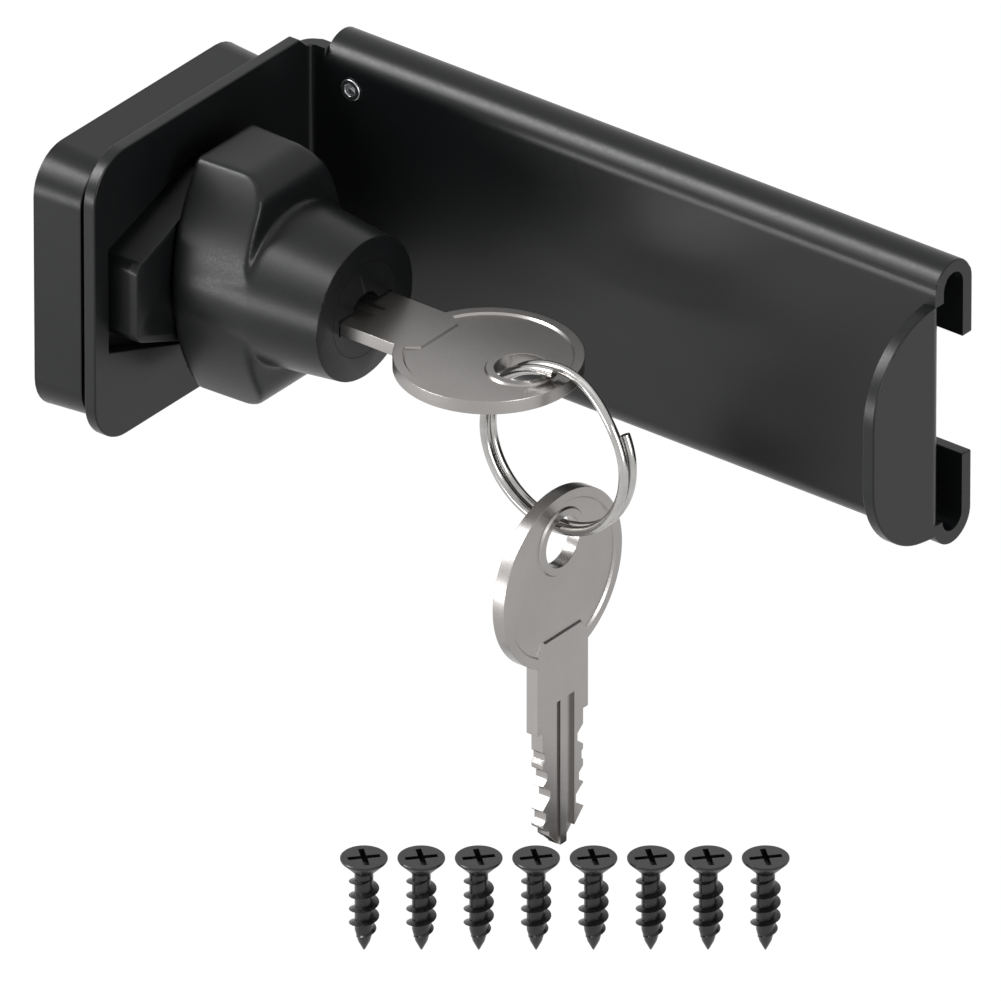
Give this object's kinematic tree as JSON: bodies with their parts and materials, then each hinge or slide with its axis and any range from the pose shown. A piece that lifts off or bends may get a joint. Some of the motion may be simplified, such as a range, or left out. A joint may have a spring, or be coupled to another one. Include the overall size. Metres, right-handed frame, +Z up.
{
  "type": "hasp latch",
  "caption": "Hasp latch: a slotted bent-sheet bar running on a fixed rail is held on a hexagonal boss by a key-locked twist knob; key, ring and spare key hang from the lock",
  "frame": {"origin": "the knob axis on the plane of the housing back, the face that is screwed down", "axes": "+X out of the housing through the knob; +Y from the housing towards the rail; +Z up, as the latch stands in the picture"},
  "size_m": [0.1044, 0.0499, 0.099],
  "materials": {
    "black_sheet": "satin black powder coat on bent steel sheet",
    "black_cast": "satin black paint on zinc die casting",
    "black_screw": "black oxide on steel, slightly oiled",
    "nickel_key": "satin nickel plate on pressed key blanks",
    "nickel_wire": "bright nickel plate on spring wire",
    "zinc_steel": "bright zinc plate on steel",
    "bright_steel": "polished spring and ball steel",
    "brass": "stamped brass",
    "nylon": "natural nylon"
  },
  "bodies": {
    "base": {"base_housing": "black_cast", "slide_rail": "zinc_steel", "thrust_washer": "nylon", "screws": "black_screw"},
    "hasp": {"hasp_bar": "black_sheet", "set_screw": "black_screw"},
    "knob_body": {"knob": "black_cast", "retaining_washer": "zinc_steel", "retaining_screw": "zinc_steel", "detent_ball": "bright_steel", "detent_spring": "bright_steel"},
    "plug": {"lock_plug": "black_cast", "wafers": "brass", "plug_clip": "bright_steel"},
    "bolt": {"lock_bolt": "zinc_steel"},
    "key_body": {"key": "nickel_key"},
    "ring": {"split_ring": "nickel_wire"},
    "spare": {"spare_key": "nickel_key"}
  },
  "joints": [
    {"name": "hasp_slide", "type": "slide", "parent": "base", "child": "hasp", "axis": [1, 0, 0], "range_m": [0, 0.0035]},
    {"name": "knob_turn", "type": "hinge", "parent": "base", "child": "knob_body", "pos_m": [0, 0, 0], "axis": [1, 0, 0], "range_deg": [-90, 0]},
    {"name": "key_turn", "type": "hinge", "parent": "knob_body", "child": "plug", "pos_m": [0.015, 0, 0], "axis": [1, 0, 0], "range_deg": [-90, 0]},
    {"name": "bolt_throw", "type": "slide", "parent": "knob_body", "child": "bolt", "axis": [0, 0, -1], "range_m": [0, 0.00311]},
    {"name": "key_pull", "type": "slide", "parent": "plug", "child": "key_body", "axis": [1, 0, 0], "range_m": [0, 0.02]},
    {"name": "ring_swing", "type": "hinge", "parent": "key_body", "child": "ring", "pos_m": [0.0642, 0, -0.0002], "axis": [-1, 0, 0], "range_deg": [-12, 12]},
    {"name": "spare_swing", "type": "hinge", "parent": "ring", "child": "spare", "pos_m": [0.0642, 0, -0.0196], "axis": [-1, 0, 0], "range_deg": [-35, 35]}
  ],
  "couplings": [
    {"joint": "bolt_throw", "follows": "key_turn", "m_per_rad": -0.0019805}
  ]
}
